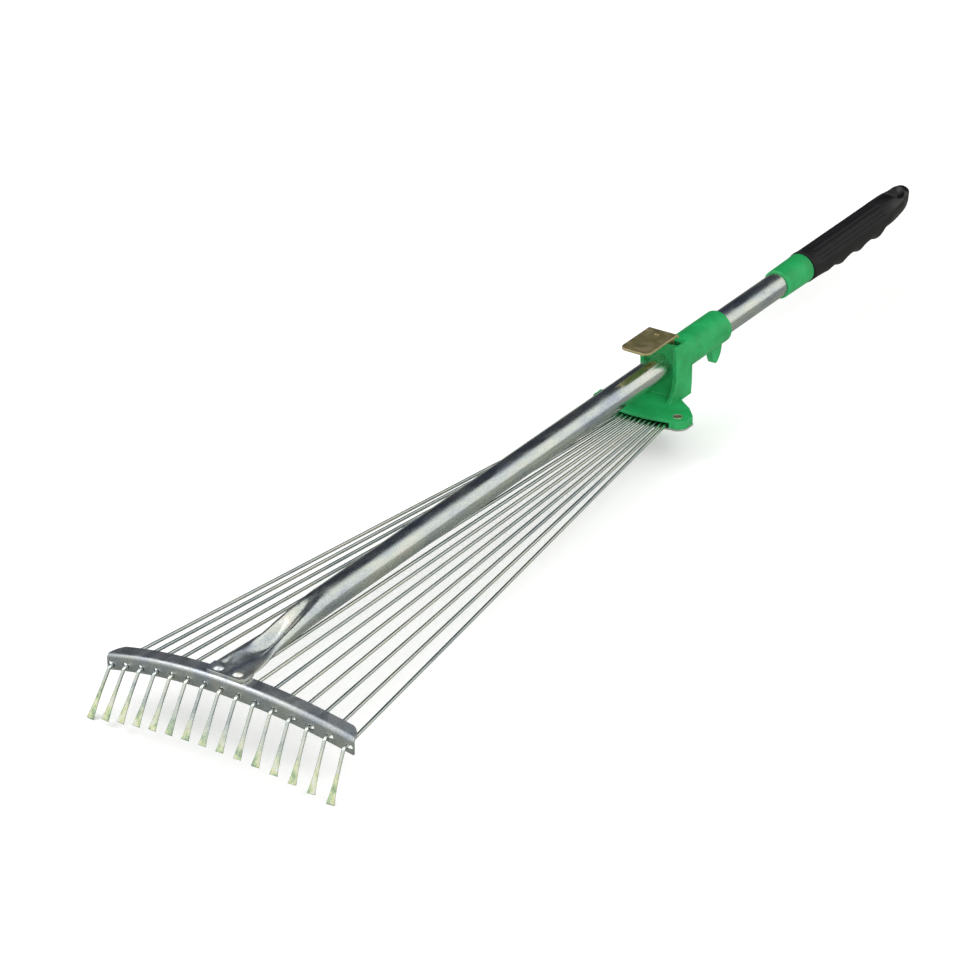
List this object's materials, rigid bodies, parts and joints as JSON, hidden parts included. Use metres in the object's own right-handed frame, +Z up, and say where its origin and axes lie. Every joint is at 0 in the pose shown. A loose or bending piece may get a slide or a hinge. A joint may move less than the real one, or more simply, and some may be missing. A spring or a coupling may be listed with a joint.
{
  "type": "leaf rake",
  "caption": "Expanding steel-tined leaf rake: sliding green hub fans the wire tines through an arched head bar, on a telescopic tube handle with a moulded grip.",
  "frame": {"origin": "on the ground under the middle of the rake: centre of the bounding box in X and Y, lowest tine tip in Z", "axes": "+Y along the handle from the head bar to the grip, +Z up with the tine tips pointing down, X across the head bar"},
  "size_m": [0.224, 1.0486, 0.0963],
  "materials": {
    "zinc_plate": "bright zinc plated steel",
    "zinc_wire": "zinc plated spring wire",
    "green_plastic": "satin moulded plastic",
    "cover_steel": "zinc plated sheet",
    "eyelet_steel": "yellow passivated",
    "yellow_zinc": "yellow passivated zinc",
    "spring_steel": "drawn wire",
    "nylon": "natural nylon",
    "grip_rubber": "satin moulded"
  },
  "bodies": {
    "frame": {"head_bar": "zinc_plate", "tab_rivets": "zinc_plate", "main_tube": "zinc_plate", "collet": "nylon"},
    "slider": {"slider_body": "green_plastic", "slider_cover": "cover_steel", "cover_eyelets": "eyelet_steel", "lock_spring": "spring_steel"},
    "lock_lever": {"lock_plate": "yellow_zinc"},
    "collar": {"lock_collar": "green_plastic"},
    "upper": {"upper_tube": "zinc_plate", "guide_plug": "nylon", "grip": "grip_rubber"},
    "tine_01": {"tine_01": "zinc_wire"},
    "tine_02": {"tine_02": "zinc_wire"},
    "tine_03": {"tine_03": "zinc_wire"},
    "tine_04": {"tine_04": "zinc_wire"},
    "tine_05": {"tine_05": "zinc_wire"},
    "tine_06": {"tine_06": "zinc_wire"},
    "tine_07": {"tine_07": "zinc_wire"},
    "tine_08": {"tine_08": "zinc_wire"},
    "tine_09": {"tine_09": "zinc_wire"},
    "tine_10": {"tine_10": "zinc_wire"},
    "tine_11": {"tine_11": "zinc_wire"},
    "tine_12": {"tine_12": "zinc_wire"},
    "tine_13": {"tine_13": "zinc_wire"},
    "tine_14": {"tine_14": "zinc_wire"},
    "tine_15": {"tine_15": "zinc_wire"}
  },
  "joints": [
    {"name": "slider_slide", "type": "slide", "parent": "frame", "child": "slider", "axis": [0, -1, 0], "range_m": [0, 0.2]},
    {"name": "lock_lever_tilt", "type": "hinge", "parent": "slider", "child": "lock_lever", "pos_m": [0, 0.11088, 0.0469], "axis": [1, 0, 0], "range_deg": [0, 3], "stiffness_Nm_per_rad": 4, "springref_deg": -2.86},
    {"name": "collar_twist", "type": "hinge", "parent": "frame", "child": "collar", "pos_m": [0, 0.29633, 0.0655], "axis": [0, 1, 0], "range_deg": [0, 90]},
    {"name": "handle_slide", "type": "slide", "parent": "frame", "child": "upper", "axis": [0, 1, 0], "range_m": [0, 0.5]},
    {"name": "tine_01_swing", "type": "hinge", "parent": "slider", "child": "tine_01", "pos_m": [-0.0266, 0.08733, 0.0353], "axis": [0.0076, 0, -1], "range_deg": [0, 3.99]},
    {"name": "tine_02_swing", "type": "hinge", "parent": "slider", "child": "tine_02", "pos_m": [-0.0228, 0.09033, 0.0353], "axis": [-0.054, 0, -0.9985], "range_deg": [0, 3.39]},
    {"name": "tine_03_swing", "type": "hinge", "parent": "slider", "child": "tine_03", "pos_m": [-0.019, 0.08733, 0.0353], "axis": [-0.1271, 0, -0.9919], "range_deg": [0, 2.88]},
    {"name": "tine_04_swing", "type": "hinge", "parent": "slider", "child": "tine_04", "pos_m": [-0.0152, 0.09033, 0.0353], "axis": [-0.2189, 0, -0.9757], "range_deg": [0, 2.31]},
    {"name": "tine_05_swing", "type": "hinge", "parent": "slider", "child": "tine_05", "pos_m": [-0.0114, 0.08733, 0.0353], "axis": [-0.343, 0, -0.9393], "range_deg": [0, 1.83]},
    {"name": "tine_06_swing", "type": "hinge", "parent": "slider", "child": "tine_06", "pos_m": [-0.0076, 0.09033, 0.0353], "axis": [-0.5257, 0, -0.8506], "range_deg": [0, 1.33]},
    {"name": "tine_07_swing", "type": "hinge", "parent": "slider", "child": "tine_07", "pos_m": [-0.0038, 0.08733, 0.0353], "axis": [-0.7971, 0, -0.6038], "range_deg": [0, 0.95278]},
    {"name": "tine_08_swing", "type": "hinge", "parent": "slider", "child": "tine_08", "pos_m": [0, 0.09033, 0.0353], "axis": [-1, 0, 0], "range_deg": [0, 0.76764]},
    {"name": "tine_09_swing", "type": "hinge", "parent": "slider", "child": "tine_09", "pos_m": [0.0038, 0.08733, 0.0353], "axis": [-0.7971, 0, 0.6038], "range_deg": [0, 0.95278]},
    {"name": "tine_10_swing", "type": "hinge", "parent": "slider", "child": "tine_10", "pos_m": [0.0076, 0.09033, 0.0353], "axis": [-0.5257, 0, 0.8506], "range_deg": [0, 1.33]},
    {"name": "tine_11_swing", "type": "hinge", "parent": "slider", "child": "tine_11", "pos_m": [0.0114, 0.08733, 0.0353], "axis": [-0.343, 0, 0.9393], "range_deg": [0, 1.83]},
    {"name": "tine_12_swing", "type": "hinge", "parent": "slider", "child": "tine_12", "pos_m": [0.0152, 0.09033, 0.0353], "axis": [-0.2189, 0, 0.9757], "range_deg": [0, 2.31]},
    {"name": "tine_13_swing", "type": "hinge", "parent": "slider", "child": "tine_13", "pos_m": [0.019, 0.08733, 0.0353], "axis": [-0.1271, 0, 0.9919], "range_deg": [0, 2.88]},
    {"name": "tine_14_swing", "type": "hinge", "parent": "slider", "child": "tine_14", "pos_m": [0.0228, 0.09033, 0.0353], "axis": [-0.054, 0, 0.9985], "range_deg": [0, 3.39]},
    {"name": "tine_15_swing", "type": "hinge", "parent": "slider", "child": "tine_15", "pos_m": [0.0266, 0.08733, 0.0353], "axis": [0.0076, 0, 1], "range_deg": [0, 3.99]}
  ],
  "couplings": [
    {"joint": "tine_01_swing", "follows": "slider_slide", "rad_per_m": 0.34763},
    {"joint": "tine_02_swing", "follows": "slider_slide", "rad_per_m": 0.29471},
    {"joint": "tine_03_swing", "follows": "slider_slide", "rad_per_m": 0.25044},
    {"joint": "tine_04_swing", "follows": "slider_slide", "rad_per_m": 0.20108},
    {"joint": "tine_05_swing", "follows": "slider_slide", "rad_per_m": 0.15867},
    {"joint": "tine_06_swing", "follows": "slider_slide", "rad_per_m": 0.11531},
    {"joint": "tine_07_swing", "follows": "slider_slide", "rad_per_m": 0.082273},
    {"joint": "tine_08_swing", "follows": "slider_slide", "rad_per_m": 0.066116},
    {"joint": "tine_09_swing", "follows": "slider_slide", "rad_per_m": 0.082273},
    {"joint": "tine_10_swing", "follows": "slider_slide", "rad_per_m": 0.11531},
    {"joint": "tine_11_swing", "follows": "slider_slide", "rad_per_m": 0.15867},
    {"joint": "tine_12_swing", "follows": "slider_slide", "rad_per_m": 0.20108},
    {"joint": "tine_13_swing", "follows": "slider_slide", "rad_per_m": 0.25044},
    {"joint": "tine_14_swing", "follows": "slider_slide", "rad_per_m": 0.29471},
    {"joint": "tine_15_swing", "follows": "slider_slide", "rad_per_m": 0.34763}
  ]
}
